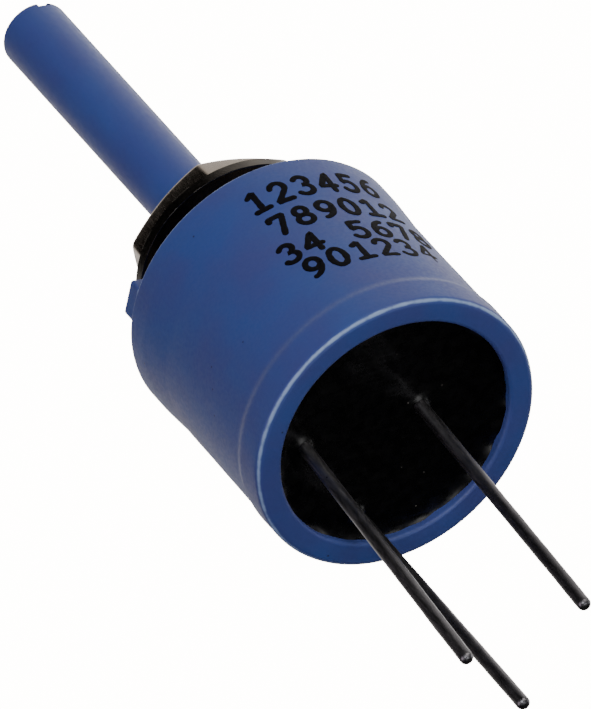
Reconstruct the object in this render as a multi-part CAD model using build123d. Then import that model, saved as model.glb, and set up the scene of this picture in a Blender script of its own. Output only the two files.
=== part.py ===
"""Rotary potentiometer, single turn, panel mounting: moulded cup, threaded bushing, three wire terminals.

Millimetres. Z runs along the shaft, and the origin is the centre of the front mounting face: the bushing,
nut and shaft lie at +Z, and the cup, potting and terminals at -Z.
"""
from build123d import *
from math import atan2, cos, degrees, hypot, radians, sin
import os

# ---- fits and small gaps ---------------------------------------------------------------------------
RUNNING_GAP = 0.03       # radial, journal in its bushing, pivot in its hole, nut on its thread
FACE_GAP = 0.03          # axial, between faces that turn on each other
RING_GAP = 0.02          # axial, each side of a ring in its groove
STOP_GAP_DEG = 0.5       # between rotor lug and stop rib at each end of the turn

# ---- housing, a moulded cup ------------------------------------------------------------------------
BODY_D = 13.3            # outside, behind the front band
BODY_LENGTH = 12.0       # mounting face to rim
BODY_DRAFT = 0.05        # growth of the radius from the front band to the rim band
BAND_HEIGHT = 0.10       # how far the two bands stand out of the wall
FRONT_BAND_LENGTH = 1.2
REAR_BAND_LENGTH = 2.0
BAND_RAMP = 0.35
RIM_ROUND, RIM_INNER_ROUND = 0.3, 0.175
FRONT_WALL = 1.2
SIDE_WALL = 1.05         # round the potting
SHELF = 0.6              # shelf that the substrate sits on, inside the side wall
LUG_WIDTH, LUG_DEPTH, LUG_HEIGHT = 1.7, 1.2, 0.8
LUG_ANGLE, LUG_ROUND, LUG_SUNK = 225.0, 0.15, 0.4  # direction, edges, depth below the face

# ---- bushing, shaft and their fasteners ------------------------------------------------------------
BUSHING_D = 6.35         # 1/4 in, 32 threads per inch
BUSHING_LENGTH = 5.56
SEAT_LENGTH = 2.0        # plain stretch next to the mounting face
THREAD_PITCH = 25.4 / 32
THREAD_DEPTH = 0.325     # crest to pitch line, in pitches
THREAD_LEAD_IN, BORE_EDGE = 0.25, 0.1  # chamfers at the bushing's mouth, outside and in
SHANK_STEP = 0.425       # radius of the shank, moulded into the front wall, beyond the bushing's
FLANGE_STEP, FLANGE_LENGTH = 0.4, 0.6  # beyond the shank's radius
SHAFT_D = 3.175
SHAFT_LENGTH = 22.225    # mounting face to shaft end, 7/8 in
SHAFT_ROUND = 0.3        # of the end's edge
JOURNAL_STEP = 0.2125    # radius of the journal beyond the shaft's
SLOT_WIDTH, SLOT_DEPTH, SLOT_ANGLE = 0.6, 0.4, -43.0
ORING_SECTION, ORING_PLACE = 0.5, 3.7
ORING_ROOM = 1.2         # width of its groove, in sections
NUT_WALL, NUT_THICKNESS = 0.79375, 1.5875  # wall from the bushing's diameter to the middle of a flat
NUT_PLACE = 3.15         # mounting face to the nut's back face
NUT_ANGLE = 48.0         # of one corner
NUT_EDGE = 0.1           # crown's circle short of the flats, and the bore's chamfers beyond the bushing
WASHER_D, WASHER_THICKNESS, WASHER_TEETH = 9.7, 0.5, 12
WASHER_TOOTH_LENGTH, WASHER_CLEARANCE = 0.75, 0.08  # clearance to the bushing
WASHER_GAP = 0.01        # between washer and nut
WASHER_CUT = 0.4         # of each tooth's pitch, cut away

# ---- rotor -----------------------------------------------------------------------------------------
TURN_HALF = 147.5        # each way from the middle of the turn
THRUST_STEP, THRUST_THICKNESS = 1.4, 0.25  # radius beyond the journal's
RETAINER_STEP, RETAINER_THICKNESS = 0.9, 0.4  # radius beyond the journal's
RETAINER_DEPTH = 0.4     # of its groove
RETAINER_MOUTH = 1.5     # its opening, in radii of the groove
HUB_THICKNESS = 1.8
HUB_CLEARANCE = 0.2      # retaining ring to hub
DRIVE_STEP, DRIVE_FLAT = 0.3, 0.35  # radius short of the journal's; depth of each flat
PIVOT_D, PIVOT_DEPTH = 1.1, 0.5
ROTOR_LUG_HALF_DEG, ROTOR_LUG_CLEARANCE = 14.0, 0.3  # clearance to the cup's wall
STOP_RIB_REACH, STOP_RIB_SHORT = 0.75, 0.15
STOP_RIB_SUNK = 0.1      # into the front wall
HUB_CLEAR_OF_RIB = 0.25
SPRING_THICKNESS, SPRING_WIDTH = 0.12, 0.8
CONTACT_R, CONTACT_GAP = 0.15, 0.02
WIPER_DROP = 0.95        # hub's rear face to the substrate

# ---- element, terminals and potting ----------------------------------------------------------------
SUBSTRATE_THICKNESS = 0.9
SUBSTRATE_CLEARANCE = 0.05
FILM = 0.05              # track, collector and end pads
TRACK_WIDTH, COLLECTOR_WIDTH = 0.9, 0.9
PAD_DEG = 10.0           # of each end pad, with its terminal in the middle
BASE_THICKNESS, BASE_STANDOFF, BASE_RIM = 1.4, 0.6, 0.3
TERMINAL_SPACING = 5.08  # between the outer two, and from them to the middle one
TERMINAL_BACK = 3.5      # axis to the line through the outer two
TERMINAL_TURN = 3.0      # of the triangle about Z
TERMINAL_D, TERMINAL_SHANK_D = 0.635, 1.0
TERMINAL_LENGTH = 15.24  # beyond the rim
TERMINAL_BURIED = 0.1    # thin stretch below the potting's surface
TERMINAL_BEND = 0.1      # straight stretch above it, before the wire leans
TERMINAL_ROUND = 0.8     # of the wire's end, in radii
TERMINAL_LEANS = ((-3.2, 3.1), (-0.3, 0.3), (-1.9, 1.4))  # degrees towards +X and +Y, as the wires are bent
SOLDER_D, SOLDER_HEIGHT = 1.7, 0.45
SOLDER_LIP = 0.05        # of the cone's top, round the shank
SOLDER_CLEARANCE = 0.05  # round each joint, in the base's rim
POTTING_RECESS = 0.5     # rim to potting

# ---- worked out from the sizes above ---------------------------------------------------------------
body_r = BODY_D / 2
band_r = body_r + BODY_DRAFT + BAND_HEIGHT
front_band_r = body_r + BAND_HEIGHT
potting_r = body_r - SIDE_WALL
cavity_r = potting_r - SHELF
shank_r = BUSHING_D / 2 + SHANK_STEP
flange_r = shank_r + FLANGE_STEP
nut_af = BUSHING_D + 2 * NUT_WALL
journal_r = SHAFT_D / 2 + JOURNAL_STEP
thrust_r = journal_r + THRUST_STEP
retainer_r = journal_r + RETAINER_STEP
drive_r = journal_r - DRIVE_STEP
hub_r = cavity_r - STOP_RIB_REACH - HUB_CLEAR_OF_RIB
rotor_lug_r = cavity_r - ROTOR_LUG_CLEARANCE
track_r = hypot(TERMINAL_BACK, TERMINAL_SPACING / 2)  # through the outer terminals
collector_r = TERMINAL_SPACING - TERMINAL_BACK        # through the middle one
spring_r = (track_r + collector_r) / 2
pad_deg = degrees(atan2(TERMINAL_SPACING / 2, -TERMINAL_BACK))
track_half_deg = pad_deg - PAD_DEG / 2
rim_z = -BODY_LENGTH
bushing_back = -FRONT_WALL - FLANGE_LENGTH
thrust_z = bushing_back - FACE_GAP
retainer_z = thrust_z - THRUST_THICKNESS - FACE_GAP
hub_z = retainer_z - RETAINER_THICKNESS - HUB_CLEARANCE
hub_back = hub_z - HUB_THICKNESS
substrate_z = hub_back - WIPER_DROP
substrate_back = substrate_z - SUBSTRATE_THICKNESS
base_z = substrate_back - BASE_STANDOFF
base_back = base_z - BASE_THICKNESS
potting_z = rim_z + POTTING_RECESS
pitch_r = BUSHING_D / 2 - THREAD_DEPTH * THREAD_PITCH  # where thread and nut are plain cylinders
washer_z = NUT_PLACE - WASHER_GAP - WASHER_THICKNESS
stop_half_deg = 180 - TURN_HALF - ROTOR_LUG_HALF_DEG - STOP_GAP_DEG


def turned(*points):
    """The solid of revolution about Z of a closed outline of (radius, height) points."""
    return revolve(Plane.XZ * make_face(Polyline(*points, close=True)), Axis.Z)


def tube(outer, inner, low, high):
    """A straight tube or, with no inner radius, a rod between two heights."""
    if not inner:
        return turned((0, low), (outer, low), (outer, high), (0, high))
    return turned((inner, low), (outer, low), (outer, high), (inner, high))


def sector(inner, outer, low, high, middle_deg, half_deg):
    """The part of a tube within half_deg either side of the direction middle_deg."""
    start = Plane.XZ.rotated((0, 0, middle_deg - half_deg))
    corners = ((inner, low), (outer, low), (outer, high), (inner, high))
    return revolve(start * make_face(Polyline(*corners, close=True)), Axis.Z, 2 * half_deg)


def circular_edges(solid, radius, height):
    """The solid's circles of one radius at one height."""
    edges = solid.edges().filter_by(GeomType.CIRCLE)
    return edges.filter_by(lambda e: abs(e.radius - radius) < 1e-4 and abs(e.center().Z - height) < 1e-4)


def housing():
    """Cup with a band at each end, a shelf for the substrate, a stop rib and the locating lug."""
    front_step = -FRONT_BAND_LENGTH - BAND_RAMP
    rear_step = rim_z + REAR_BAND_LENGTH
    cup = turned(
        (shank_r, 0), (front_band_r, 0), (front_band_r, -FRONT_BAND_LENGTH), (body_r, front_step),
        (body_r + BODY_DRAFT, rear_step), (band_r, rear_step - BAND_RAMP), (band_r, rim_z),
        (potting_r, rim_z), (potting_r, substrate_z), (cavity_r, substrate_z), (cavity_r, -FRONT_WALL),
        (shank_r, -FRONT_WALL),
    )
    cup = fillet(circular_edges(cup, band_r, rim_z), RIM_ROUND)
    cup = fillet(circular_edges(cup, potting_r, rim_z), RIM_INNER_ROUND)
    cup = fillet(circular_edges(cup, front_band_r, 0), BAND_HEIGHT)
    rib_end = hub_back + STOP_RIB_SHORT
    rib = sector(cavity_r - STOP_RIB_REACH, cavity_r + SHELF / 2, rib_end, -FRONT_WALL + STOP_RIB_SUNK,
                 TERMINAL_TURN, stop_half_deg) - tube(flange_r, 0, bushing_back, -FRONT_WALL)
    lug_middle = front_band_r - BAND_HEIGHT - LUG_DEPTH / 2
    lug = Pos(lug_middle, 0, (LUG_HEIGHT - LUG_SUNK) / 2) * Box(LUG_DEPTH, LUG_WIDTH, LUG_HEIGHT + LUG_SUNK)
    lug = fillet(lug.edges().filter_by(Axis.Z) + lug.faces().sort_by(Axis.Z)[-1].edges(), LUG_ROUND)
    return cup + rib + Rot(0, 0, LUG_ANGLE) * lug


def bushing():
    """Bored bushing: flange and shank in the front wall, plain seat, and the threaded stretch beyond it."""
    bore = journal_r + RUNNING_GAP
    return turned(
        (bore, bushing_back), (flange_r, bushing_back), (flange_r, -FRONT_WALL),
        (shank_r, -FRONT_WALL), (shank_r, 0), (BUSHING_D / 2, 0), (BUSHING_D / 2, SEAT_LENGTH),
        (pitch_r, SEAT_LENGTH + BUSHING_D / 2 - pitch_r), (pitch_r, BUSHING_LENGTH - THREAD_LEAD_IN),
        (pitch_r - THREAD_LEAD_IN, BUSHING_LENGTH), (bore + BORE_EDGE, BUSHING_LENGTH),
        (bore, BUSHING_LENGTH - BORE_EDGE),
    )


def shaft():
    """Shaft: slotted end, journal with its two grooves, flatted drive and rear pivot, all one piece."""
    shaft_r = SHAFT_D / 2
    step = BUSHING_LENGTH - BORE_EDGE
    ring_r = journal_r - RETAINER_DEPTH
    ring_low = retainer_z - RETAINER_THICKNESS - RING_GAP
    ring_high = retainer_z + RING_GAP
    half_groove = ORING_ROOM * ORING_SECTION / 2
    oring_low, oring_high = ORING_PLACE - half_groove, ORING_PLACE + half_groove
    groove_r = journal_r - ORING_SECTION + RING_GAP
    body = turned(
        (0, SHAFT_LENGTH), (shaft_r, SHAFT_LENGTH), (shaft_r, step), (journal_r, step),
        (journal_r, oring_high), (groove_r, oring_high), (groove_r, oring_low), (journal_r, oring_low),
        (journal_r, ring_high), (ring_r, ring_high), (ring_r, ring_low),
        (journal_r, ring_low), (journal_r, hub_z), (drive_r, hub_z), (drive_r, hub_back),
        (PIVOT_D / 2, hub_back), (PIVOT_D / 2, substrate_z - PIVOT_DEPTH), (0, substrate_z - PIVOT_DEPTH),
    )
    body = fillet(circular_edges(body, shaft_r, SHAFT_LENGTH), SHAFT_ROUND)
    slot = Pos(0, 0, SHAFT_LENGTH) * Box(2 * SHAFT_D, SLOT_WIDTH, 2 * SLOT_DEPTH)
    return body - Rot(0, 0, SLOT_ANGLE) * slot - drive_flats()


def drive_flats():
    """The two slabs outside the flats of the shaft's drive, which key it to the hub."""
    slab = Box(2 * drive_r, 2 * drive_r, HUB_THICKNESS)
    out = 2 * drive_r - DRIVE_FLAT
    middle = (hub_z + hub_back) / 2
    return Pos(0, out, middle) * slab + Pos(0, -out, middle) * slab


def o_ring():
    """Ring of round section in the journal's forward groove, just inside the bushing's bore."""
    section_r = ORING_SECTION / 2 - RING_GAP
    return Pos(0, 0, ORING_PLACE) * Torus(journal_r - section_r, section_r)


def retaining_ring():
    """Open ring, like a C, snapped into the groove behind the bushing."""
    inner = journal_r - RETAINER_DEPTH
    low = retainer_z - RETAINER_THICKNESS
    mouth = Pos(retainer_r, 0, low) * Box(2 * retainer_r, RETAINER_MOUTH * inner, 3 * RETAINER_THICKNESS)
    return tube(retainer_r, inner, low, retainer_z) - mouth


def thrust_washer():
    """Flat washer between the bushing's flange and the retaining ring."""
    return tube(thrust_r, journal_r + 2 * RUNNING_GAP, thrust_z - THRUST_THICKNESS, thrust_z)


def rotor_hub():
    """Insulating disc keyed to the shaft, with the lug that meets the stop rib at each end of the turn."""
    disc = tube(hub_r, 0, hub_back, hub_z)
    lug = sector(hub_r / 2, rotor_lug_r, hub_back + 2 * STOP_RIB_SHORT, hub_z,
                 TERMINAL_TURN + 180, ROTOR_LUG_HALF_DEG)
    drive = tube(drive_r, 0, hub_back, hub_z) - drive_flats()
    return disc + lug - drive


def wiper_spring():
    """Leaf ring on the hub's rear face with one finger out to the track and one in to the collector."""
    half = SPRING_WIDTH / 2
    low = hub_back - SPRING_THICKNESS
    ring = tube(spring_r + half, spring_r - half, low, hub_back)
    tip_z = substrate_z + FILM + CONTACT_GAP + CONTACT_R

    def finger(root_x, tip_x, width):
        root, tip = Vector(root_x, 0, low + SPRING_THICKNESS / 2), Vector(tip_x, 0, tip_z)
        run = tip - root
        slope = Plane(origin=(root + tip) * 0.5, x_dir=run, z_dir=run.cross(Vector(0, 1, 0)))
        leaf = slope * Box(run.length, width, SPRING_THICKNESS)
        return leaf + Pos(tip_x, 0, tip_z) * Rot(90, 0, 0) * Cylinder(CONTACT_R, width)

    spring = ring + finger(spring_r, track_r, SPRING_WIDTH)
    spring += finger(-spring_r, -collector_r, SPRING_WIDTH)
    return Rot(0, 0, TERMINAL_TURN) * spring


def terminal_place(index):
    """Where terminal 0, 1 or 2 crosses the potting: 0 and 1 are the ends of the track, 2 is the wiper's."""
    x = (-TERMINAL_BACK, -TERMINAL_BACK, TERMINAL_SPACING - TERMINAL_BACK)[index]
    y = (-TERMINAL_SPACING / 2, TERMINAL_SPACING / 2, 0)[index]
    turn = radians(TERMINAL_TURN)
    return x * cos(turn) - y * sin(turn), x * sin(turn) + y * cos(turn)


def terminal(index):
    """Round pin: a thick shank in substrate, base and potting, then a thin wire that leans as it was bent."""
    x, y = terminal_place(index)
    thin = TERMINAL_D / 2
    bend_z = potting_z - TERMINAL_BEND
    shank_end = potting_z + TERMINAL_BURIED
    shank = Pos(x, y, 0) * tube(TERMINAL_SHANK_D / 2, 0, shank_end, substrate_back)
    stub = Pos(x, y, 0) * tube(thin, 0, bend_z, substrate_z)
    lean_x, lean_y = (radians(a) for a in TERMINAL_LEANS[index])
    down = Vector(sin(lean_x), sin(lean_y), -cos(lean_x) * cos(lean_y)).normalized()
    length = (bend_z - rim_z + TERMINAL_LENGTH) / -down.Z
    along = Plane(origin=(x, y, bend_z), z_dir=down)
    wire = along * (Pos(0, 0, length / 2) * Cylinder(thin, length))
    wire = fillet(wire.edges().filter_by(GeomType.CIRCLE).sort_by(Axis.Z)[0], TERMINAL_ROUND * thin)
    return shank + stub + wire + Pos(x, y, bend_z) * Sphere(thin)


def element_substrate(terminals):
    """Ceramic disc with the pivot's blind hole and a hole for each terminal."""
    disc = tube(potting_r - SUBSTRATE_CLEARANCE, 0, substrate_back, substrate_z)
    pivot_hole = tube(PIVOT_D / 2 + RUNNING_GAP, 0, substrate_z - PIVOT_DEPTH - 2 * FACE_GAP, substrate_z)
    return disc - pivot_hole - terminals


def film(radius, width, half_deg, middle_deg):
    """A printed film on the substrate's front face."""
    half = width / 2
    return sector(radius - half, radius + half, substrate_z, substrate_z + FILM, middle_deg, half_deg)


def track_end_pads():
    """The conductor pad that joins each end of the track to its terminal."""
    return [film(track_r, TRACK_WIDTH, PAD_DEG / 2, TERMINAL_TURN + side * pad_deg) for side in (-1, 1)]


def collector_ring():
    """Full ring of conductor under the wiper's inner finger."""
    half = COLLECTOR_WIDTH / 2
    return tube(collector_r + half, collector_r - half, substrate_z, substrate_z + FILM)


def terminal_base(terminals):
    """Insulating disc that holds the three shanks square, on a raised rim that seats on the substrate."""
    disc_r = potting_r - SUBSTRATE_CLEARANCE
    disc = tube(disc_r, 0, base_back, base_z)
    rim = tube(disc_r, disc_r - BASE_RIM, base_z, substrate_back)
    pocket = tube(SOLDER_D / 2 + SOLDER_CLEARANCE, 0, base_z, substrate_back)
    pockets = [Pos(*terminal_place(i), 0) * pocket for i in range(3)]
    return disc + rim - pockets - terminals


def solder_joints(terminals):
    """A small cone of solder round each shank, on the back of the substrate."""
    top, foot = substrate_back - SOLDER_HEIGHT, substrate_back
    cone = turned((0, foot), (SOLDER_D / 2, foot), (TERMINAL_SHANK_D / 2 + SOLDER_LIP, top), (0, top))
    return [Pos(*terminal_place(i), 0) * cone - terminals[i] for i in range(3)]


def epoxy_seal(terminals):
    """Potting compound behind the base, level and a little below the rim."""
    return tube(potting_r, 0, potting_z, base_back) - terminals


def lock_washer():
    """Flat washer with inward teeth, cut by radial gaps."""
    inner = BUSHING_D / 2 + WASHER_CLEARANCE
    ring = tube(WASHER_D / 2, inner, washer_z, washer_z + WASHER_THICKNESS)
    pitch = 360 / WASHER_TEETH
    gaps = [sector(inner / 2, inner + WASHER_TOOTH_LENGTH, washer_z, washer_z + WASHER_THICKNESS,
                   i * pitch, WASHER_CUT * pitch / 2) for i in range(WASHER_TEETH)]
    return ring - gaps


def hex_nut():
    """Hexagon nut, corners turned off at the front, bore at the thread's pitch diameter."""
    corner_r = nut_af / 2 / cos(radians(30))
    high = NUT_PLACE + NUT_THICKNESS
    blank = Pos(0, 0, NUT_PLACE) * Rot(0, 0, NUT_ANGLE) * extrude(RegularPolygon(corner_r, 6), NUT_THICKNESS)
    outside, crown_r = corner_r + NUT_EDGE, nut_af / 2 - NUT_EDGE
    slope = (outside - crown_r) * sin(radians(30))
    crown = turned((0, NUT_PLACE), (outside, NUT_PLACE), (outside, high - slope), (crown_r, high), (0, high))
    bore, mouth = pitch_r + RUNNING_GAP, BUSHING_D / 2 + NUT_EDGE
    flare = mouth - bore
    hole = turned((0, NUT_PLACE), (mouth, NUT_PLACE), (bore, NUT_PLACE + flare), (bore, high - flare),
                  (mouth, high), (0, high))
    return blank & crown - hole


def main():
    terminals = [terminal(i) for i in range(3)]
    parts = {
        "housing": housing(),
        "bushing": bushing(),
        "shaft": shaft(),
        "o_ring": o_ring(),
        "retaining_ring": retaining_ring(),
        "thrust_washer": thrust_washer(),
        "rotor_hub": rotor_hub(),
        "wiper_spring": wiper_spring(),
        "element_substrate": element_substrate(terminals),
        "resistance_track": film(track_r, TRACK_WIDTH, track_half_deg, TERMINAL_TURN),
        "track_end_pads": Compound(children=track_end_pads()),
        "collector_ring": collector_ring(),
        "terminal_base": terminal_base(terminals),
        "solder_joints": Compound(children=solder_joints(terminals)),
        "terminal_1": terminals[0],
        "terminal_2": terminals[1],
        "terminal_3": terminals[2],
        "epoxy_seal": epoxy_seal(terminals),
        "lock_washer": lock_washer(),
        "hex_nut": hex_nut(),
    }
    os.makedirs("parts", exist_ok=True)
    for name, shape in parts.items():
        export_step(shape, f"parts/{name}.step")


main()
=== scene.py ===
"""Rotary potentiometer: the finished surfaces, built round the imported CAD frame.

Sizes here are millimetres, and become metres when a mesh is made. Z runs along the shaft: the shaft leaves
at +Z, the mounting face is at 0, and the cup, its potting and the terminals lie at -Z.
"""
from math import cos, pi, radians, sin
import bpy
import numpy as np
from mathutils import Matrix, Vector


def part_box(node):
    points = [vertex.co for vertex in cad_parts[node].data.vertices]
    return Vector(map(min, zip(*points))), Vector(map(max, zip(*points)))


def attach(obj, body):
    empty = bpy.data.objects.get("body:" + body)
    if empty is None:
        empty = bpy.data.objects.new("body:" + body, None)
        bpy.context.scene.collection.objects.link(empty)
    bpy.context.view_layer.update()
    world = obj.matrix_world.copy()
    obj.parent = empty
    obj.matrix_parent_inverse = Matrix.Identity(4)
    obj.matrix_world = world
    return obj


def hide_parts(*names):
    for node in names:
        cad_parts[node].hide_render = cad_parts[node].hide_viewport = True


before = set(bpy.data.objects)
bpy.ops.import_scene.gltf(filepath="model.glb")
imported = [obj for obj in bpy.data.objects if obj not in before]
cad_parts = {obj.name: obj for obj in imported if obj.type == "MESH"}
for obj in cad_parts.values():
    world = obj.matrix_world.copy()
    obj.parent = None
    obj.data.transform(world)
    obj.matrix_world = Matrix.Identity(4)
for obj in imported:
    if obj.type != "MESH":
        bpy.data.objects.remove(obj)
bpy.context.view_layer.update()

MM = 0.001
FULL_TURN = 2 * pi


def corners(node):
    """The lowest and the highest corner of a CAD node, in millimetres."""
    low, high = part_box(node)
    return np.array(low) / MM, np.array(high) / MM


# ---- sizes read from the frame ---------------------------------------------------------------------
cup_low, cup_high = corners("housing")
potting_low, potting_high = corners("epoxy_seal")
bushing_low, bushing_high = corners("bushing")
shaft_low, shaft_high = corners("shaft")
washer_low, washer_high = corners("lock_washer")
nut_low, nut_high = corners("hex_nut")
substrate_low, substrate_high = corners("element_substrate")
hub_low, hub_high = corners("rotor_hub")

band_r = cup_high[0]
rim_z = cup_low[2]
potting_r = potting_high[0]
shelf_z = substrate_high[2]

# ---- sizes that the pieces share with the CAD model ------------------------------------------------
BAND_HEIGHT, BODY_DRAFT = 0.10, 0.05
FRONT_BAND, REAR_BAND, BAND_RAMP = 1.2, 2.0, 0.35
FRONT_EASE = -3.2        # where the front band has run out into the body's side
RIM_ROUND, RIM_INNER_ROUND, FRONT_ROUND = 0.3, 0.175, 0.1
EASE_ROUND, RAMP_ROUND = 6.0, 1.0
FRONT_WALL, SHELF = 1.2, 0.6
SHANK_R = 3.6
LUG_SIZE, LUG_SUNK, LUG_ANGLE = (1.2, 1.7, 0.8), 0.4, radians(225)
LUG_EDGE = 0.15
RIB_SHORT, RIB_SUNK = 0.15, 0.1  # clear of the hub's rear face, and into the front wall
RIB_HALF_DEPTH, RIB_HALF_ANGLE, RIB_ANGLE = 0.45, radians(18), radians(3)
RIB_INSET, RIB_EDGE = 0.3, 0.05
BUSHING_R, SEAT_LENGTH = 3.175, 2.0
THREAD_PITCH = 25.4 / 32
THREAD_DEPTH = 0.61 * THREAD_PITCH
THREAD_GAP = 0.04
THREAD_PAST_MOUTH = 0.2  # how far beyond the mouth the thread would fade out
BORE_EDGE, MOUTH_CHAMFER = 0.1, 0.45
JOURNAL_R, SHAFT_R = 1.8, 1.5875
RUNNING_GAP = 0.03
NUT_AF, NUT_CORNER = 7.9375, radians(48)
NUT_POWER = 56           # of the norm that rounds its corners
NUT_CROWN_INSET, NUT_CROWN_SLOPE = 0.1, radians(28)
NUT_EDGE, NUT_BURR, NUT_MOUTH = 0.07, 0.1, 0.1
NUT_BORE_ROWS = 44
SLOT_WIDTH, SLOT_DEPTH, SLOT_ANGLE = 0.6, 0.4, radians(-43)
SHAFT_ROUND = 0.3
ORING_LOW, ORING_HIGH, ORING_GROOVE_R = 3.4, 4.0, 1.32
RETAINER_LOW, RETAINER_HIGH, RETAINER_GROOVE_R = -2.53, -2.09, 1.4
DRIVE_R, DRIVE_FLAT, PIVOT_R = 1.5, 1.15, 0.55  # the flat's distance from the axis
WASHER_TEETH, WASHER_TOOTH, WASHER_CLEARANCE = 12, 0.75, 0.08
WASHER_GAP_HALF, WASHER_GAP_RAMP, TOOTH_HALF = 0.2, 0.02, 0.3  # in pitches of the teeth
TOOTH_THINNING, TOOTH_TWIST = 0.3, 0.28
PIN_R, PIN_SHANK_R = 0.3175, 0.5

body_r = band_r - BAND_HEIGHT - BODY_DRAFT
cavity_r = potting_r - SHELF


# ---- shapes as grids of points ---------------------------------------------------------------------
def rounded(*points, steps=7):
    """An outline of (radius, height, round) corners. Each corner becomes the arc of its round that touches
    both sides: its centre lies on the corner's bisector at round / sin(half the corner's angle)."""
    ends = [np.array(p[:2], float) for p in points]
    line = [ends[0]]
    for before, corner, after, point in zip(ends, ends[1:], ends[2:], points[1:]):
        radius = point[2] if len(point) > 2 else 0
        if not radius:
            line.append(corner)
            continue
        to_before = (before - corner) / np.linalg.norm(before - corner)
        to_after = (after - corner) / np.linalg.norm(after - corner)
        bisector = to_before + to_after
        bisector /= np.linalg.norm(bisector)
        half_sine = np.sqrt((1 - to_before @ to_after) / 2)
        centre = corner + bisector * radius / half_sine
        reach = radius * np.sqrt(1 - half_sine ** 2) / half_sine
        first, last = corner + to_before * reach - centre, corner + to_after * reach - centre
        start = np.arctan2(first[1], first[0])
        turn = (np.arctan2(last[1], last[0]) - start + pi) % FULL_TURN - pi
        angle = start + turn * np.linspace(0, 1, steps)
        line.extend(centre + radius * np.stack([np.cos(angle), np.sin(angle)], 1))
    line.append(ends[-1])
    return np.array(line)


def divided(outline, longest):
    """The outline with points added evenly along each side, so that no side is over the longest length."""
    sides = np.linalg.norm(np.diff(outline, axis=0), axis=1)
    parts = np.maximum(1, np.ceil(sides / longest)).astype(int)
    stations = np.concatenate([i + np.arange(n) / n for i, n in enumerate(parts)] + [[len(parts)]])
    index = np.arange(len(outline))
    return np.stack([np.interp(stations, index, outline[:, k]) for k in (0, 1)], 1)


def round_z(radius, angle, height):
    """Points at a radius, an angle about Z and a height, for arrays of any shapes that fit each other."""
    spread = np.broadcast_arrays(radius * np.cos(angle), radius * np.sin(angle), height + 0 * angle)
    return np.stack(spread, -1)


def revolved(outline, steps):
    """The outline carried round Z: at each angle a, (radius cos a, radius sin a, height). The outline runs
    outwards at the top, down the outside and inwards below, so that faces point outwards."""
    angle = np.linspace(0, FULL_TURN, steps + 1)[None, :]
    return round_z(outline[:, :1], angle, outline[:, 1:])


def block(half, edge, steps=9):
    """The six sides of a box with rounded edges. A point on the plain box is moved to the nearest point of
    the box that is smaller by the edge's radius, and from there out again by that radius."""
    half = np.array(half, float)
    spread = np.sin(np.linspace(-pi / 2, pi / 2, 2 * steps + 1))
    u, v = np.meshgrid(spread, spread, indexing="ij")
    sides = []
    for axis in range(3):
        for sign in (-1, 1):
            side = np.empty(u.shape + (3,))
            side[..., axis] = sign
            side[..., (axis + 1) % 3] = u if sign > 0 else v
            side[..., (axis + 2) % 3] = v if sign > 0 else u
            plain = side * half
            core = np.clip(plain, edge - half, half - edge)
            out = plain - core
            sides.append(core + edge * out / np.linalg.norm(out, axis=-1, keepdims=True))
    return sides


def swept(path, radius, steps=40):
    """A round bar along a path that runs near -Z: at each station a ring of the given radius, square to the
    path's direction. The radius is an array over stations, or over stations and steps."""
    along = np.gradient(path, axis=0)
    along /= np.linalg.norm(along, axis=1, keepdims=True)
    across = np.cross(along, (0.0, 1.0, 0.0))
    across /= np.linalg.norm(across, axis=1, keepdims=True)
    third = np.cross(along, across)
    angle = np.linspace(0, FULL_TURN, steps + 1)[None, :, None]
    ring = np.cos(angle) * across[:, None] - np.sin(angle) * third[:, None]
    radius = np.broadcast_to(np.atleast_2d(radius.T).T, (len(path), steps + 1))
    return path[:, None] + radius[..., None] * ring


def waves(seed, count, longest, *coordinates):
    """Smooth unevenness between about -1 and 1: the mean of sine waves of random direction and phase, with
    wavelengths from a fifth of the longest up to the longest."""
    rng = np.random.default_rng(seed)
    total = 0
    for _ in range(count):
        direction = rng.normal(size=len(coordinates))
        direction *= FULL_TURN / (longest * rng.uniform(0.2, 1) * np.linalg.norm(direction))
        total = total + np.sin(sum(d * c for d, c in zip(direction, coordinates)) + rng.uniform(0, FULL_TURN))
    return total / np.sqrt(count)


def piece(name, grids, body, replaced, material, crease=32):
    """One closed mesh from grids of points, riding on a CAD body in place of CAD nodes. Four neighbours in
    a grid make a face. Points that coincide become one, which closes seams, poles and joins between
    grids."""
    points, faces, first = [], [], 0
    for grid in grids:
        index = first + np.arange(grid.shape[0] * grid.shape[1]).reshape(grid.shape[:2])
        sides = (index[:-1, :-1], index[1:, :-1], index[1:, 1:], index[:-1, 1:])
        faces.append(np.stack(sides, -1).reshape(-1, 4))
        points.append(grid.reshape(-1, 3))
        first += index.size
    points, faces = np.concatenate(points), np.concatenate(faces)
    keys = np.round(points, 5) + 0.0
    _, kept, same = np.unique(keys, axis=0, return_index=True, return_inverse=True)
    faces = same.reshape(-1)[faces]
    doubled = faces == np.roll(faces, -1, axis=1)
    quads = faces[doubled.sum(1) == 0]
    triangles = [np.delete(faces[(doubled.sum(1) == 1) & doubled[:, k]], k, axis=1) for k in range(4)]
    mesh = bpy.data.meshes.new(name)
    mesh.from_pydata((points[kept] * MM).tolist(), [], quads.tolist() + np.concatenate(triangles).tolist())
    mesh.polygons.foreach_set("use_smooth", np.ones(len(mesh.polygons), bool))
    mesh.set_sharp_from_angle(angle=radians(crease))
    mesh.materials.append(material)
    made = bpy.data.objects.new(name, mesh)
    bpy.context.scene.collection.objects.link(made)
    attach(made, body)
    if replaced:
        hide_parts(*replaced)
    return made


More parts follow.
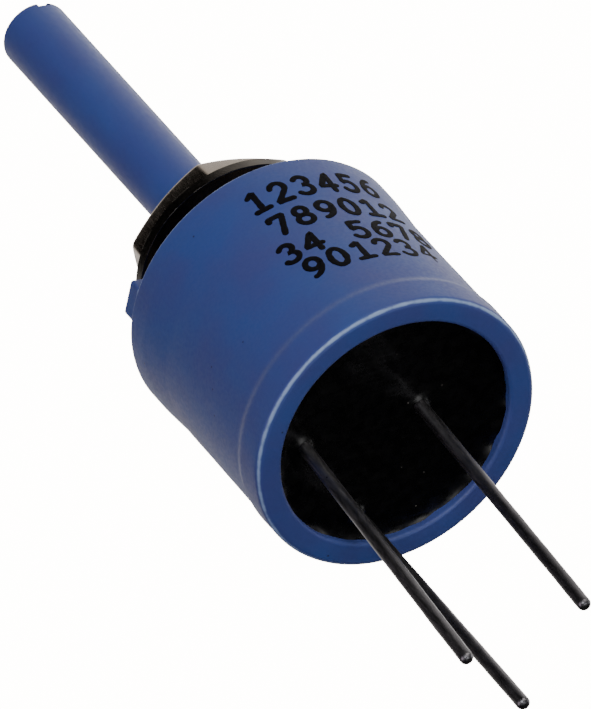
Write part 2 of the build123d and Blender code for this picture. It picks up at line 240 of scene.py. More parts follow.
# ---- materials -------------------------------------------------------------------------------------
def linear(hex_colour):
    """An sRGB hex colour, such as 2f4c84, as linear light with full alpha."""
    channels = np.array([int(hex_colour[i:i + 2], 16) / 255 for i in (0, 2, 4)])
    light = np.where(channels <= 0.04045, channels / 12.92, ((channels + 0.055) / 1.055) ** 2.4)
    return (*light.tolist(), 1.0)


def add(tree, kind, inputs=None, **settings):
    """One node of a kind with its settings. Each input is a value, or the socket that feeds it."""
    made = tree.nodes.new(kind)
    for name, value in settings.items():
        setattr(made, name, value)
    for name, value in (inputs or {}).items():
        if isinstance(value, bpy.types.NodeSocket):
            tree.links.new(value, made.inputs[name])
        else:
            made.inputs[name].default_value = value
    return made


def finish(name, colours, cloud_mm, grain_mm, roughness, relief_mm, stretch=(1, 1, 1), specks=(), **sockets):
    """A material of two colours that drift into each other over cloud_mm, with a grain of grain_mm that
    moves the roughness between its two values and stands relief_mm high. stretch draws the grain out along
    an axis. Each speck is (colour, spacing in mm, share of the spacing that a dot covers, seed)."""
    material = bpy.data.materials.new(name)
    material.use_nodes = True
    tree = material.node_tree
    shader = tree.nodes["Principled BSDF"]
    for socket, value in sockets.items():
        shader.inputs[socket.replace("_", " ")].default_value = value
    place = add(tree, "ShaderNodeTexCoord")
    millimetres = add(tree, "ShaderNodeVectorMath", {0: place.outputs["Object"], 1: (1 / MM,) * 3},
                      operation="MULTIPLY")
    drawn = add(tree, "ShaderNodeMapping", {"Vector": millimetres.outputs[0], "Scale": stretch})
    cloud = add(tree, "ShaderNodeTexNoise",
                {"Vector": drawn.outputs[0], "Scale": 1 / cloud_mm, "Detail": 3.0})
    spread = add(tree, "ShaderNodeMapRange",
                 {"Value": cloud.outputs["Fac"], "From Min": 0.35, "From Max": 0.65})
    grain = add(tree, "ShaderNodeTexNoise",
                {"Vector": drawn.outputs[0], "Scale": 1 / grain_mm, "Detail": 2.0})
    colour = add(tree, "ShaderNodeMix", {0: spread.outputs[0], 6: linear(colours[0]), 7: linear(colours[1])},
                 data_type="RGBA").outputs[2]
    for tint, spacing, share, seed in specks:
        dots = add(tree, "ShaderNodeMapping", {"Vector": millimetres.outputs[0], "Location": (seed,) * 3})
        cell = add(tree, "ShaderNodeTexVoronoi", {"Vector": dots.outputs[0], "Scale": 1 / spacing})
        inside = add(tree, "ShaderNodeMapRange", {"Value": cell.outputs["Distance"], "From Min": share,
                                                  "From Max": share * 0.5})
        colour = add(tree, "ShaderNodeMix", {0: inside.outputs[0], 6: colour, 7: linear(tint)},
                     data_type="RGBA").outputs[2]
    rough = add(tree, "ShaderNodeMapRange", {"Value": grain.outputs["Fac"], "From Min": 0.3, "From Max": 0.7,
                                             "To Min": roughness[0], "To Max": roughness[1]})
    bump = add(tree, "ShaderNodeBump", {"Height": grain.outputs["Fac"], "Distance": relief_mm * MM})
    tree.links.new(colour, shader.inputs["Base Color"])
    tree.links.new(rough.outputs[0], shader.inputs["Roughness"])
    tree.links.new(bump.outputs[0], shader.inputs["Normal"])
    return material


def paint_edge_highlight(material, rings, width, tint):
    """Paints a highlight along a moulding's edges: pales its colour within a width of each circle (radius,
    height) about Z, broken up by noise, so that the edge shows a painted highlight as a thin uneven line."""
    tree = material.node_tree
    shader = tree.nodes["Principled BSDF"]
    place = add(tree, "ShaderNodeTexCoord")
    point = add(tree, "ShaderNodeVectorMath", {0: place.outputs["Object"], 1: (1 / MM,) * 3},
                operation="MULTIPLY")
    flat = add(tree, "ShaderNodeVectorMath", {0: point.outputs[0], 1: (1, 1, 0)}, operation="MULTIPLY")
    from_axis = add(tree, "ShaderNodeVectorMath", {0: flat.outputs[0]}, operation="LENGTH")
    height = add(tree, "ShaderNodeSeparateXYZ", {0: point.outputs[0]})
    section = add(tree, "ShaderNodeCombineXYZ", {"X": from_axis.outputs["Value"], "Y": height.outputs["Z"]})
    broken = add(tree, "ShaderNodeTexNoise", {"Vector": point.outputs[0], "Scale": 1.6, "Detail": 4.0})
    colour = shader.inputs["Base Color"].links[0].from_socket
    for radius, level in rings:
        away = add(tree, "ShaderNodeVectorMath", {0: section.outputs[0], 1: (radius, level, 0)},
                   operation="DISTANCE")
        near = add(tree, "ShaderNodeMapRange",
                   {"Value": away.outputs["Value"], "From Min": width, "From Max": 0.0})
        highlit = add(tree, "ShaderNodeMath", {0: near.outputs[0], 1: broken.outputs["Fac"]},
                   operation="MULTIPLY")
        share = add(tree, "ShaderNodeMapRange",
                    {"Value": highlit.outputs[0], "From Min": 0.12, "From Max": 0.42})
        colour = add(tree, "ShaderNodeMix", {0: share.outputs[0], 6: colour, 7: linear(tint)},
                     data_type="RGBA").outputs[2]
    tree.links.new(colour, shader.inputs["Base Color"])


# Diallyl phthalate, compression moulded: blue all through, half matt, with faint violet clouds where the
# filler flowed, pinholes and a few pale chips of filler.
cup_plastic = finish("moulded_phthalate_blue", ("354f96", "3d4a8e"), 3.2, 0.16, (0.42, 0.56), 0.006,
                     specks=(("1d2c58", 1.3, 0.05, 3.1), ("7288b8", 1.9, 0.028, 8.7)), IOR=1.52)
# Painted highlight: a pale, uneven line along the rim's outer edge and the cup's front edge, where these
# edges catch the light.
EDGE_HIGHLIGHT_WIDTH, RIM_HIGHLIGHT_INSET = 0.14, 0.09
paint_edge_highlight(cup_plastic, ((band_r - RIM_HIGHLIGHT_INSET, rim_z + RIM_HIGHLIGHT_INSET), (body_r + BAND_HEIGHT, 0.0)), EDGE_HIGHLIGHT_WIDTH,
    "8ba4cf")
# Nylon shaft, injection moulded: a little smoother and cleaner than the cup.
shaft_plastic = finish("moulded_nylon_blue", ("3a539d", "3d4b94"), 2.6, 0.2, (0.38, 0.5), 0.004,
                       stretch=(1, 1, 0.5), specks=(("24386c", 1.9, 0.035, 5.3),), IOR=1.53)
# Epoxy ink stamped on with a rubber pad: thick and dull, thin enough in spots for the blue to come through.
stamp_ink = finish("stamped_epoxy_ink", ("020208", "04050e"), 0.5, 0.12, (0.6, 0.75), 0.003, IOR=1.2)
# Casting epoxy, poured and cured in place: deep black and glossy, with pale grey specks that are partly white
# flecks caught in it and partly painted highlights standing for tiny glints.
potting_epoxy = finish("cast_black_epoxy", ("020203", "040405"), 2.5, 0.5, (0.22, 0.34), 0.010,
                       specks=(("6d6a66", 1.15, 0.035, 1.7), ("9c9890", 2.3, 0.022, 6.1)), IOR=1.55)
# Brass bar, turned and plated with nickel that has gone warm and dull.
nut_nickel = finish("nickel_plated_brass", ("8f867e", "a59c92"), 1.4, 0.12, (0.2, 0.3), 0.002,
                    stretch=(1, 1, 0.35), specks=(("4a4541", 1.6, 0.04, 2.2),), Metallic=1.0)
# Spring steel, blanked and plated, its colour darkened well below the nut's: painted shade for the dark gap
# between the nut and the cup.
washer_steel_painted_shade = finish("nickel_plated_steel_painted_shade", ("4f4b48", "625e59"), 0.9, 0.1, (0.16, 0.26), 0.004,
                      Metallic=1.0)
# Copper wire dipped in molten tin: grey and uneven along its length, with drawn-out streaks.
tinned_wire = finish("hot_tinned_copper", ("5f5e62", "79787c"), 0.6, 0.1, (0.3, 0.46), 0.006,
                     stretch=(1, 1, 0.12), specks=(("38373b", 0.8, 0.07, 4.4),), Metallic=1.0)

# The pieces inside the cup keep their CAD shapes.
INNER_FINISHES = {
    # Nitrile rubber, moulded: black and dull.
    "o_ring": finish("nitrile_rubber", ("0f0f10", "171718"), 0.8, 0.1, (0.6, 0.75), 0.004, IOR=1.52),
    # Spring steel, stamped and oil blackened.
    "retaining_ring": finish("oiled_spring_steel", ("4c4c50", "5d5d61"), 0.7, 0.1, (0.35, 0.5), 0.003,
                             Metallic=1.0),
    # Phosphor bronze sheet, blanked: warm and smooth.
    "thrust_washer": finish("phosphor_bronze", ("b07c4a", "c08c58"), 1.0, 0.12, (0.25, 0.38), 0.002,
                            Metallic=1.0),
    # Phenolic, moulded with wood flour: near black with a fine mottle.
    "rotor_hub": finish("moulded_phenolic", ("15120f", "221c17"), 0.5, 0.14, (0.45, 0.6), 0.006, IOR=1.6),
    # Beryllium copper flashed with gold: bright and yellow.
    "wiper_spring": finish("gold_flashed_copper", ("c9a85c", "d9ba72"), 0.7, 0.1, (0.18, 0.3), 0.001,
                           Metallic=1.0),
    # Alumina, pressed and fired: white, dry and faintly speckled.
    "element_substrate": finish("fired_alumina", ("dcd9d0", "e9e7e0"), 0.8, 0.12, (0.55, 0.7), 0.004,
                                specks=(("b4aea2", 0.9, 0.05, 7.3),), IOR=1.7),
    # Cermet ink, screen printed and fired: black glass and metal with the screen's texture.
    "resistance_track": finish("fired_cermet", ("17181b", "24262a"), 0.4, 0.1, (0.3, 0.45), 0.003, IOR=1.6),
    # Silver and palladium ink, printed and fired: matt silver.
    "track_end_pads": finish("fired_silver_pads", ("b9b6ae", "c9c6bf"), 0.4, 0.1, (0.4, 0.55), 0.003,
                             Metallic=1.0),
    "collector_ring": finish("fired_silver_ring", ("b9b6ae", "c9c6bf"), 0.4, 0.1, (0.35, 0.5), 0.003,
                             Metallic=1.0),
    # Paper and phenolic laminate, punched: brown with a fibrous grain.
    "terminal_base": finish("phenolic_laminate", ("4a2c14", "5f3a1c"), 0.7, 0.15, (0.45, 0.6), 0.005,
                            stretch=(1, 0.3, 1), IOR=1.55),
    # Tin and lead solder, melted on with an iron: bright where it flowed.
    "solder_joints": finish("tin_lead_solder", ("a3a3a6", "b8b8ba"), 0.5, 0.14, (0.18, 0.35), 0.006,
                            Metallic=1.0),
}
for node, inner_finish in INNER_FINISHES.items():
    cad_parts[node].data.materials.clear()
    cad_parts[node].data.materials.append(inner_finish)


# ---- cup -------------------------------------------------------------------------------------------
def cup_side_r(height):
    """Radius of the cup's side ahead of the rear band: straight lines from the front band's edge in to
    where the band has run out, and from there out again by the draft to the rear band."""
    heights = (rim_z + REAR_BAND, FRONT_EASE, -FRONT_BAND)
    return np.interp(height, heights, (body_r + BODY_DRAFT, body_r, body_r + BAND_HEIGHT))


def cup():
    """A closed outline carried round Z, with the lug and the stop rib as rounded blocks moulded onto it.
    The outside sinks in slow waves by up to about 16 micrometres, as a moulding does."""
    front_r = body_r + BAND_HEIGHT
    outline = rounded(
        (SHANK_R, 0), (front_r, 0, FRONT_ROUND), (front_r, -FRONT_BAND, EASE_ROUND),
        (body_r, FRONT_EASE, EASE_ROUND), (body_r + BODY_DRAFT, rim_z + REAR_BAND, RAMP_ROUND),
        (band_r, rim_z + REAR_BAND - BAND_RAMP, RAMP_ROUND), (band_r, rim_z, RIM_ROUND),
        (potting_r, rim_z, RIM_INNER_ROUND), (potting_r, shelf_z), (cavity_r, shelf_z),
        (cavity_r, -FRONT_WALL), (SHANK_R, -FRONT_WALL), (SHANK_R, 0), steps=11)
    shell = revolved(divided(outline, 0.5), 256)
    outside = np.clip(np.hypot(shell[..., 0], shell[..., 1]) - potting_r, 0, 1)
    bulge = 1 - 0.0012 * outside * (1 + waves(11, 9, 9.0, shell[..., 0], shell[..., 1], shell[..., 2]))
    shell[..., :2] *= bulge[..., None]

    depth, width, height = LUG_SIZE
    lug_middle = (body_r - depth / 2, 0, (height - LUG_SUNK) / 2)
    turn = np.array([[cos(LUG_ANGLE), sin(LUG_ANGLE), 0], [-sin(LUG_ANGLE), cos(LUG_ANGLE), 0], [0, 0, 1]])
    lug_half = (depth / 2, width / 2, (height + LUG_SUNK) / 2)
    lug = [(side + lug_middle) @ turn for side in block(lug_half, LUG_EDGE)]

    rib_low, rib_high = hub_low[2] + RIB_SHORT, -FRONT_WALL + RIB_SUNK
    rib_middle = (rib_low + rib_high) / 2
    rib_half = (RIB_HALF_DEPTH, RIB_HALF_ANGLE, (rib_high - rib_low) / 2)
    rib = [round_z(side[..., 0] + cavity_r - RIB_INSET, side[..., 1] + RIB_ANGLE, side[..., 2] + rib_middle)
           for side in block(rib_half, RIB_EDGE)]
    return [shell, *lug, *rib]


piece("moulded_cup", cup(), "housing", ["housing"], cup_plastic)


# ---- marking: four rows of plain digits, stamped on the side of the cup ------------------------------
def arc(x, y, across, up, start, end):
    """Points on an ellipse about (x, y) between two angles in degrees."""
    angle = np.radians(np.linspace(start, end, 17))
    return np.stack([x + across * np.cos(angle), y + up * np.sin(angle)], 1)


# Strokes of each digit in a box 0.64 wide and 1 high: lists of points, or arcs, joined end to end.
DIGITS = {
    "0": [[arc(0.32, 0.5, 0.27, 0.5, 90, 450)]],
    "1": [[(0.12, 0.84), (0.34, 1.0), (0.34, 0.0)], [(0.08, 0.0), (0.6, 0.0)]],
    "2": [[arc(0.31, 0.72, 0.26, 0.28, 165, -40), (0.05, 0.0), (0.6, 0.0)]],
    "3": [[arc(0.3, 0.76, 0.24, 0.24, 150, -90), arc(0.3, 0.27, 0.28, 0.27, 90, -150)]],
    "4": [[(0.46, 0.0), (0.46, 1.0), (0.03, 0.3), (0.62, 0.3)]],
    "5": [[(0.55, 1.0), (0.14, 1.0), (0.12, 0.55), arc(0.3, 0.31, 0.28, 0.32, 125, -150)]],
    "6": [[arc(0.54, 0.3, 0.48, 0.68, 95, 180), arc(0.32, 0.3, 0.26, 0.3, 180, 540)]],
    "7": [[(0.06, 0.86), (0.06, 1.0), (0.6, 1.0), (0.26, 0.0)]],
    "8": [[arc(0.32, 0.76, 0.22, 0.24, -90, 270)], [arc(0.32, 0.27, 0.27, 0.27, 90, 450)]],
    "9": [[arc(0.32, 0.7, 0.26, 0.3, 0, 360), arc(0.1, 0.7, 0.48, 0.68, 0, -85)]],
}
GLYPH_HEIGHT, GLYPH_PITCH, STROKE = 1.24, 1.14, 0.29
INK_THICKNESS = 0.012
# Each row: its digits, the height of its middle and the angle at which it starts.
ROWS = (("123456", -2.0, -74), ("789012", -3.95, -73), ("34 5678", -5.85, -78), ("901234", -7.4, -74))


def stroke(points, lift):
    """A closed ribbon of ink along a flat line of points, with round ends: half its width at a distance e
    past an end is sqrt(h^2 - e^2). Around each station runs the section, from below the plastic, up one
    edge, over the rounded top and down the other. Gives (along the row, up the row, height over the
    plastic)."""
    half = STROKE / 2
    sides = np.linalg.norm(np.diff(points, axis=0), axis=1)
    travel = np.concatenate([[0], np.cumsum(sides)])
    station = np.linspace(0, travel[-1], max(3, int(travel[-1] / 0.05)))
    line = np.stack([np.interp(station, travel, points[:, k]) for k in (0, 1)], 1)
    along = np.gradient(line, axis=0)
    along /= np.linalg.norm(along, axis=1, keepdims=True)
    past = half * np.sin(np.linspace(pi / 2, 0, 6, endpoint=False))
    line = np.concatenate([line[0] - past[:, None] * along[0], line, line[-1] + past[::-1, None] * along[-1]])
    along = np.concatenate([along[:1].repeat(6, 0), along, along[-1:].repeat(6, 0)])
    width = np.concatenate([np.sqrt(half ** 2 - past ** 2), np.full(len(station), half),
                            np.sqrt(half ** 2 - past[::-1] ** 2)])
    width = width * (1 + 0.06 * waves(lift, 5, 0.9, line[:, 0], line[:, 1]))
    across = np.stack([-along[:, 1], along[:, 0]], 1)
    section = np.array([(-1, -3), (-1, 0.2), (-0.85, 0.8), (-0.5, 1), (0.5, 1), (0.85, 0.8), (1, 0.2),
                        (1, -3),
                        (-1, -3)])
    flat = line[:, None] + across[:, None] * (width[:, None] * section[:, 0])[..., None]
    height = INK_THICKNESS * section[:, 1] * (1 + 0.02 * (lift % 7))
    return flat[..., 0], flat[..., 1], np.broadcast_to(height, flat.shape[:2])


def marking():
    """The ribbons of all digits, wrapped on the cup: a distance along a row becomes an angle about Z."""
    ribbons = []
    for digits, middle, start in ROWS:
        for place, digit in enumerate(digits):
            for line in DIGITS.get(digit, ()):
                points = np.concatenate([np.atleast_2d(part) for part in line]) * GLYPH_HEIGHT
                x, y, height = stroke(points, len(ribbons))
                angle = radians(start) + (x + place * GLYPH_PITCH) / body_r
                z = middle + y - GLYPH_HEIGHT / 2
                ribbons.append(round_z(cup_side_r(z) * 0.999 + height, angle, z)[:, ::-1])
    return ribbons


piece("stamped_digits", marking(), "housing", [], stamp_ink, crease=60)


# ---- terminals and potting -------------------------------------------------------------------------
BEND_ABOVE_POTTING = 0.1
TIP_ROUND = 0.8 * PIN_R


def pin_line(node):
    """Where a CAD terminal enters the substrate and where its tip ends: the middles of its highest and its
    lowest points."""
    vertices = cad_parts[node].data.vertices
    points = np.empty(len(vertices) * 3)
    vertices.foreach_get("co", points)
    points = points.reshape(-1, 3) / MM
    top, tip = points[:, 2].max(), points[:, 2].min()
    near = 0.06
    return points[points[:, 2] > top - near].mean(0), points[points[:, 2] < tip + near].mean(0)


def pin(node, seed):
    """A round bar down Z from the substrate to the bend, then straight to its tip. Its radius steps out to
    the shank and back, follows a quarter circle at the tip, and is uneven by a few hundredths of itself."""
    top, tip = pin_line(node)
    bend = np.array([top[0], top[1], potting_low[2] - BEND_ABOVE_POTTING])
    straight = top + (bend - top) * np.linspace(0, 1, 40)[:, None]
    from_tip = np.concatenate([np.linspace(np.linalg.norm(tip - bend), TIP_ROUND, 150)[1:],
                               TIP_ROUND * (1 - np.sin(np.linspace(0, pi / 2, 9)[1:]))])
    direction = (tip - bend) / np.linalg.norm(tip - bend)
    leaning = tip - from_tip[:, None] * direction
    path = np.concatenate([straight, leaning])
    quarter = np.clip(1 - from_tip / TIP_ROUND, 0, 1)
    tip_r = PIN_R - TIP_ROUND * (1 - np.sqrt(1 - quarter ** 2))
    shank = (straight[:, 2] < substrate_low[2]) & (straight[:, 2] > potting_low[2] + 0.1)
    radius = np.concatenate([np.where(shank, PIN_SHANK_R, PIN_R), tip_r])[:, None]
    angle = np.linspace(0, FULL_TURN, 41)[None, :]
    z = path[:, 2:]
    uneven = 1 - 0.014 * (1 + waves(seed, 8, 2.6, z, 0.5 * np.cos(angle), 0.5 * np.sin(angle)))
    bar = swept(path, radius * uneven)
    ends = [bar[:1].mean(1, keepdims=True).repeat(41, 1), bar,
            bar[-1:, :-1].mean(1, keepdims=True).repeat(41, 1)]
    return np.concatenate(ends)


pin_places = []
for number in (1, 2, 3):
    cad_name = f"terminal_{number}"
    piece(f"tinned_pin_{number}", [pin(cad_name, 20 + number)], "housing", [cad_name],
          tinned_wire)
    pin_places.append(pin_line(cad_name)[0][:2])


def potting():
    """A poured disc: flat on the base, and free below. Its free face is level but for slow waves, creeps up
    the cup's wall and each pin as exp(-distance / reach), and is ragged where it wets the wall."""
    down = np.concatenate([np.linspace(potting_r, potting_r - 0.6, 13),
                           np.linspace(potting_r - 0.6, 0, 90)[1:]])
    outline = np.concatenate([
        [(0, potting_high[2]), (potting_r, potting_high[2])],
        np.stack([down, np.full(len(down), potting_low[2])], 1)])
    disc = revolved(outline, 300)
    x, y = disc[2:, :, 0], disc[2:, :, 1]
    from_axis = np.hypot(x, y)
    wall_climb = 0.13 + 0.07 * waves(31, 7, 5.0, x, y)
    climb = wall_climb * np.exp((from_axis - potting_r) / 0.22)
    for place in pin_places:
        climb += 0.14 * np.exp(-np.maximum(np.hypot(x - place[0], y - place[1]) - PIN_R, 0) / 0.16)
    level = 0.018 * waves(32, 8, 6.0, x, y) + 0.006 * waves(33, 10, 1.4, x, y)
    disc[2:, :, 2] -= climb + level * np.clip((potting_r - from_axis) / 0.5, 0, 1)
    return [disc]


piece("poured_potting", potting(), "housing", ["epoxy_seal"], potting_epoxy, crease=70)


# ---- bushing, nut and lock washer ------------------------------------------------------------------
def thread(angle, height):
    """How deep a right-hand thread lies at an angle and height, from 0 at its crest to 1 at its root: a
    wave in height / pitch - angle / full turn, with straight flanks and an eighth of the pitch flat at
    crest and root."""
    phase = (height / THREAD_PITCH - angle / FULL_TURN) % 1
    return np.clip((np.abs(phase - 0.5) * 2 - 0.125) / 0.75, 0, 1)


def threaded(outline, steps, low, high):
    """The outline carried round Z, with the thread cut into every part of it between two heights. The thread
    fades over a third of a pitch at each end."""
    angle = np.linspace(0, FULL_TURN, steps + 1)[None, :]
    radius, z = outline[:, :1], outline[:, 1:]
    run = THREAD_PITCH / 3
    depth = THREAD_DEPTH * np.clip((z - low) / run, 0, 1) * np.clip((high - z) / run, 0, 1)
    return round_z(radius - depth * thread(angle, z), angle, z)


def bushing():
    """Flange and shank in the cup's wall, a plain seat, and the thread up to the chamfered mouth, with a
    plain bore for the shaft's journal."""
    low, high = bushing_low[2], bushing_high[2]
    bore = JOURNAL_R + RUNNING_GAP
    outside = rounded(
        (bore, high - BORE_EDGE), (bore + BORE_EDGE, high), (BUSHING_R - MOUTH_CHAMFER, high),
        (BUSHING_R, high - MOUTH_CHAMFER), (BUSHING_R, SEAT_LENGTH))
    seat = rounded((BUSHING_R, SEAT_LENGTH), (BUSHING_R, 0), (SHANK_R, 0), (SHANK_R, -FRONT_WALL),
                   (bushing_high[0], -FRONT_WALL), (bushing_high[0], low), (bore, low),
                   (bore, high - BORE_EDGE))
    front = threaded(divided(outside, 0.03), 200, SEAT_LENGTH, high + THREAD_PAST_MOUTH)
    return [front, revolved(seat, 200)]


piece("threaded_bushing", bushing(), "housing", ["bushing"], nut_nickel)


def hex_nut():
    """Rows from bore to bore: front face, crown, flats and back face, as arrays over row and angle. The
    flats' radius is the norm (sum of |cos(angle to a flat) / apothem| ^ 56) ^ (-1 / 56), a hexagon with
    slightly rounded corners, and the crown is the cone that cuts the corners at 28 degrees."""
    back, front = nut_low[2], nut_high[2]
    angle = np.linspace(0, FULL_TURN, 721)[None, :]
    flats = NUT_CORNER + np.radians([30, 90, 150])[:, None, None]
    side = (np.abs(np.cos(angle - flats)) ** NUT_POWER).sum(0) ** (-1 / NUT_POWER) * NUT_AF / 2
    crown_r = NUT_AF / 2 - NUT_CROWN_INSET
    drop = (side - crown_r) * np.tan(NUT_CROWN_SLOPE)
    edge, burr = NUT_EDGE, NUT_BURR
    mouth = BUSHING_R + NUT_MOUTH
    ease = np.linspace(0, pi / 2, 5)[:, None]
    rows = [
        round_z(np.linspace(mouth, crown_r, 6)[:, None], angle, front),
        round_z(crown_r + (side - edge - crown_r) * np.linspace(0.25, 1, 4)[:, None], angle,
                front - (drop - edge * 0.5) * np.linspace(0.25, 1, 4)[:, None]),
        round_z(side - edge * (1 - np.sin(ease[1:])), angle, front - drop - edge * (1.5 - np.cos(ease[1:]))),
        round_z(side - burr * (1 - np.cos(ease)), angle, back + burr * (1 - np.sin(ease))),
        round_z(np.linspace(crown_r, mouth, 5)[:, None] + 0 * angle, angle, back),
    ]
    bore_z = np.linspace(back + NUT_MOUTH, front - NUT_MOUTH, NUT_BORE_ROWS)
    bore = np.stack([np.full(NUT_BORE_ROWS, BUSHING_R + THREAD_GAP), bore_z], 1)
    radius, z = bore[:, :1], bore[:, 1:]
    rows.append(round_z(radius - THREAD_DEPTH * thread(angle, z), angle, z))
    rows.append(rows[0][:1])
    return [np.concatenate(rows)]


piece("plated_nut", hex_nut(), "nut", ["hex_nut"], nut_nickel, crease=25)


def lock_washer():
    """A ring whose inner edge steps out between teeth, as a smoothed square wave of the angle. Each tooth
    is twisted: its height over the ring's middle grows with the angle from the tooth's middle and towards
    the tip."""
    low, high = washer_low[2], washer_high[2]
    outer, tips = washer_high[0], BUSHING_R + WASHER_CLEARANCE
    roots = tips + WASHER_TOOTH
    angle = np.linspace(0, FULL_TURN, 1081)[None, :]
    within = (angle * WASHER_TEETH / FULL_TURN + 0.5) % 1 - 0.5
    gap = np.clip((WASHER_GAP_HALF - np.abs(within)) / WASHER_GAP_RAMP, 0, 1)
    inner = tips + gap * WASHER_TOOTH
    from_tooth = ((within % 1) - 0.5) / TOOTH_HALF
    thickness = high - low
    section = rounded((1.0, 0), (1.0, 1, 0.08), (0.0, 1, 0.05), (0.0, 0), (0.0, -1, 0.05), (1.0, -1, 0.08),
                      (1.0, 0))
    section = divided(section, 0.12)[::-1]
    share, side = section[:, :1], section[:, 1:]
    radius = inner + (outer - inner) * share
    tip_share = np.clip((roots - radius) / WASHER_TOOTH, 0, 1)
    thin = 1 - TOOTH_THINNING * tip_share
    twist = TOOTH_TWIST * tip_share * np.clip(from_tooth, -1, 1)
    z = (low + high) / 2 + thickness / 2 * (side * thin + twist)
    return [round_z(radius, angle, z)]


# The washer's dark colour is painted shade of the gap between the nut and the cup.
piece("toothed_washer", lock_washer(), "lock_washer", ["lock_washer"], washer_steel_painted_shade,
      crease=30)


# ---- shaft -----------------------------------------------------------------------------------------
def shaft():
    """The end is a set of chords across the shaft, parallel to the slot. A chord at a distance s from the
    slot's middle runs to the points of the circle at angles asin(s / radius), and its height is the end's
    rounded edge, or the slot's floor within half the slot's width. The sides are rows of the same angles,
    so end and side meet point to point."""
    end, edge = shaft_high[2], SHAFT_ROUND
    step = bushing_high[2] - BORE_EDGE
    slot_edge = np.arcsin(SLOT_WIDTH / 2 / SHAFT_R)
    across = np.concatenate([np.linspace(-pi / 2, -slot_edge, 41), np.linspace(-slot_edge, slot_edge, 13),
                             np.linspace(slot_edge, pi / 2, 41)])
    sunk = np.concatenate([np.zeros(41, bool), np.ones(13, bool), np.zeros(41, bool)])[:, None]
    s = SHAFT_R * np.sin(across)[:, None]
    reach = SHAFT_R * np.cos(across)[:, None]
    t = reach * np.sin(np.linspace(-pi / 2, pi / 2, 41))[None, :]
    past = np.clip(np.hypot(s, t) - (SHAFT_R - edge), 0, edge)
    height = end - edge + np.sqrt(edge ** 2 - past ** 2)
    height = np.where(sunk, end - SLOT_DEPTH, height)
    along_slot = np.array([cos(SLOT_ANGLE), sin(SLOT_ANGLE)])
    square = np.array([-sin(SLOT_ANGLE), cos(SLOT_ANGLE)])
    flat = t[..., None] * along_slot + s[..., None] * square
    face = np.concatenate([flat, height[..., None]], -1)

    below = np.array([end - SLOT_DEPTH, *np.linspace(end - 1.0, step, 24)])
    boundary = face[:, -1], face[:, 0]
    walls = []
    for line, flip in ((boundary[0], 1), (boundary[1], -1)):
        rows = np.concatenate([line[None], np.broadcast_to(line, (len(below),) + line.shape)])
        rows = rows.copy()
        rows[1:, :, 2] = below[:, None]
        walls.append(rows[:, ::flip])

    outline = np.array([
        (SHAFT_R, step), (JOURNAL_R, step), (JOURNAL_R, ORING_HIGH), (ORING_GROOVE_R, ORING_HIGH),
        (ORING_GROOVE_R, ORING_LOW), (JOURNAL_R, ORING_LOW), (JOURNAL_R, RETAINER_HIGH),
        (RETAINER_GROOVE_R, RETAINER_HIGH), (RETAINER_GROOVE_R, RETAINER_LOW), (JOURNAL_R, RETAINER_LOW),
        (JOURNAL_R, hub_high[2]), (DRIVE_R, hub_high[2]), (DRIVE_R, hub_low[2]), (PIVOT_R, hub_low[2]),
        (PIVOT_R, shaft_low[2]), (0, shaft_low[2])])
    circle = np.concatenate([across, pi - across[::-1][1:], [across[0] + FULL_TURN]])
    keep = np.concatenate([[True], np.diff(circle) > 1e-9])
    angle = circle[keep][None, :] + SLOT_ANGLE
    radius, z = outline[:, :1], outline[:, 1:]
    on_drive = (z <= hub_high[2]) & (z >= hub_low[2]) & (radius > PIVOT_R)
    flats = DRIVE_FLAT / np.maximum(np.abs(np.sin(angle)), 1e-6)
    radius = np.where(on_drive, np.minimum(radius, flats), radius)
    return [face, *walls, round_z(radius, angle, z)]


piece("moulded_shaft", shaft(), "shaft", ["shaft"], shaft_plastic)


# ---- studio: camera, floor and lights --------------------------------------------------------------
SIGHT_ANGLE, ROLL = radians(44.13), radians(42.06)
DISTANCE = 1200.0
FRAME_HEIGHT = 30.83     # what the picture's long side shows at the object
SENSOR = 36.0
middle = np.array([-0.955, 0.0, -4.143])

forward = np.array([0, sin(SIGHT_ANGLE), cos(SIGHT_ANGLE)])
level = np.array([0, cos(SIGHT_ANGLE), -sin(SIGHT_ANGLE)])
right = np.array([cos(ROLL), 0, 0]) + sin(ROLL) * level
up = np.array([sin(ROLL), 0, 0]) - cos(ROLL) * level

camera_data = bpy.data.cameras.new("camera")
camera_data.sensor_width = SENSOR
camera_data.lens = SENSOR * DISTANCE / FRAME_HEIGHT
camera_data.clip_start, camera_data.clip_end = 0.05, 40
camera = bpy.data.objects.new("camera", camera_data)
camera.matrix_world = Matrix([(*row, place) for row, place in
                              zip(np.stack([right, up, -forward], 1), (middle - DISTANCE * forward) * MM)]
                             + [(0, 0, 0, 1)])
bpy.context.scene.collection.objects.link(camera)
bpy.context.scene.camera = camera


def soft_box(name, direction, distance_mm, size_mm, watts, tint):
    """A square area light at a distance from the middle of the object, turned to face it."""
    light = bpy.data.lights.new(name, "AREA")
    light.size, light.energy, light.color = size_mm * MM, watts, linear(tint)[:3]
    box = bpy.data.objects.new(name, light)
    toward = Vector(direction).normalized()
    box.location = Vector(middle) * MM + toward * distance_mm * MM
    box.rotation_mode = "QUATERNION"
    box.rotation_quaternion = toward.to_track_quat("Z", "Y")
    box.visible_camera = False
    bpy.context.scene.collection.objects.link(box)


soft_box("key", -forward * 0.7 + right * 0.45 + up * 0.9, 350, 260, 0.62, "fffaf4")
soft_box("front_fill", -forward + up * 0.12 - right * 0.1, 450, 240, 0.85, "ffffff")
soft_box("left_fill", -right - forward * 0.55 - up * 0.35, 400, 300, 0.5, "fff0fa")
soft_box("top_fill", (0.3, 0.6, 1.0), 400, 300, 0.25, "ffffff")
soft_box("rim_fill", (0.2, -0.1, -1.0), 420, 240, 0.3, "ffffff")
soft_box("side_fill", (1.0, 0.7, -0.3), 420, 260, 0.25, "ffffff")

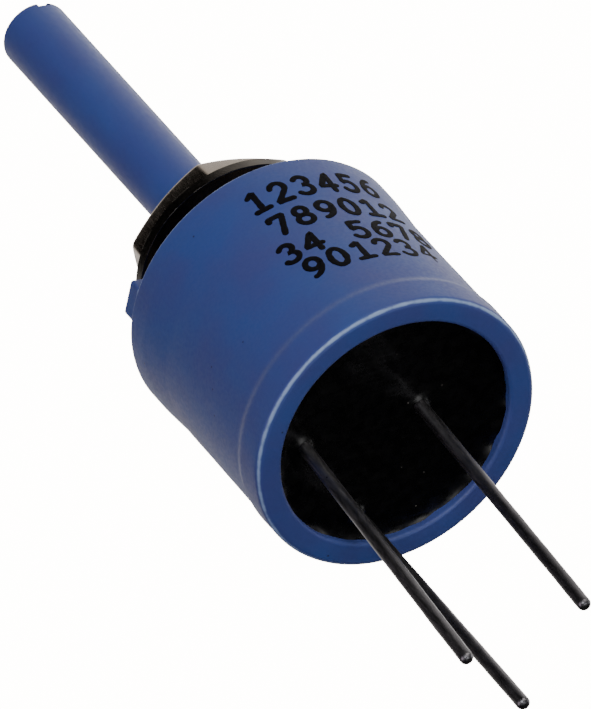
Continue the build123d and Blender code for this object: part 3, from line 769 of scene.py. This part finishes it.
FLOOR_HALF, FLOOR_DROP = 60.0, -10.0  # metres
floor_corners = [(x * FLOOR_HALF, y * FLOOR_HALF, FLOOR_DROP) for x,
                 y in ((-1, -1), (1, -1), (1, 1), (-1, 1))]
floor_mesh = bpy.data.meshes.new("floor")
floor_mesh.from_pydata(floor_corners, [], [(0, 1, 2, 3)])
floor = bpy.data.objects.new("floor", floor_mesh)
bpy.context.scene.collection.objects.link(floor)


# A dark room with one pale wall behind the object, and a white backdrop where the camera sees past it.
DARK_SIDE, PALE_WALL, BACKDROP = 0.006, 1.1, 16.0

# Seamless paper, evenly lit far below the object.
paper = bpy.data.materials.new("seamless_paper")
paper.use_nodes = True
paper_tree = paper.node_tree
paper_path = add(paper_tree, "ShaderNodeLightPath")
paper_glow = add(paper_tree, "ShaderNodeEmission", {"Color": (1, 1, 1, 1), "Strength": BACKDROP * 0.6})
paper_card = add(paper_tree, "ShaderNodeEmission", {"Color": linear("e8e6e2"), "Strength": DARK_SIDE})
paper_mix = add(paper_tree, "ShaderNodeMixShader", {0: paper_path.outputs["Is Camera Ray"],
                                                    1: paper_card.outputs[0], 2: paper_glow.outputs[0]})
paper_tree.links.new(paper_mix.outputs[0], paper_tree.nodes["Material Output"].inputs["Surface"])
floor_mesh.materials.append(paper)

world = bpy.data.worlds.new("studio")
bpy.context.scene.world = world
world.use_nodes = True
sky = world.node_tree
toward = add(sky, "ShaderNodeTexCoord")
facing = add(sky, "ShaderNodeVectorMath", {0: toward.outputs["Generated"], 1: (0.3, 0.6, 0.74)},
             operation="DOT_PRODUCT")
wall = add(sky, "ShaderNodeMapRange", {"Value": facing.outputs["Value"], "From Min": 0.25, "From Max": 0.7,
                                       "To Min": DARK_SIDE, "To Max": PALE_WALL},
           interpolation_type="SMOOTHSTEP")
seen = add(sky, "ShaderNodeLightPath")
strength = add(sky, "ShaderNodeMix", {0: seen.outputs["Is Camera Ray"], 2: wall.outputs[0], 3: BACKDROP},
               data_type="FLOAT")
room = add(sky, "ShaderNodeBackground", {"Color": linear("fffaf4"), "Strength": strength.outputs[0]})
sky.links.new(room.outputs[0], sky.nodes["World Output"].inputs["Surface"])

bpy.context.view_layer.update()
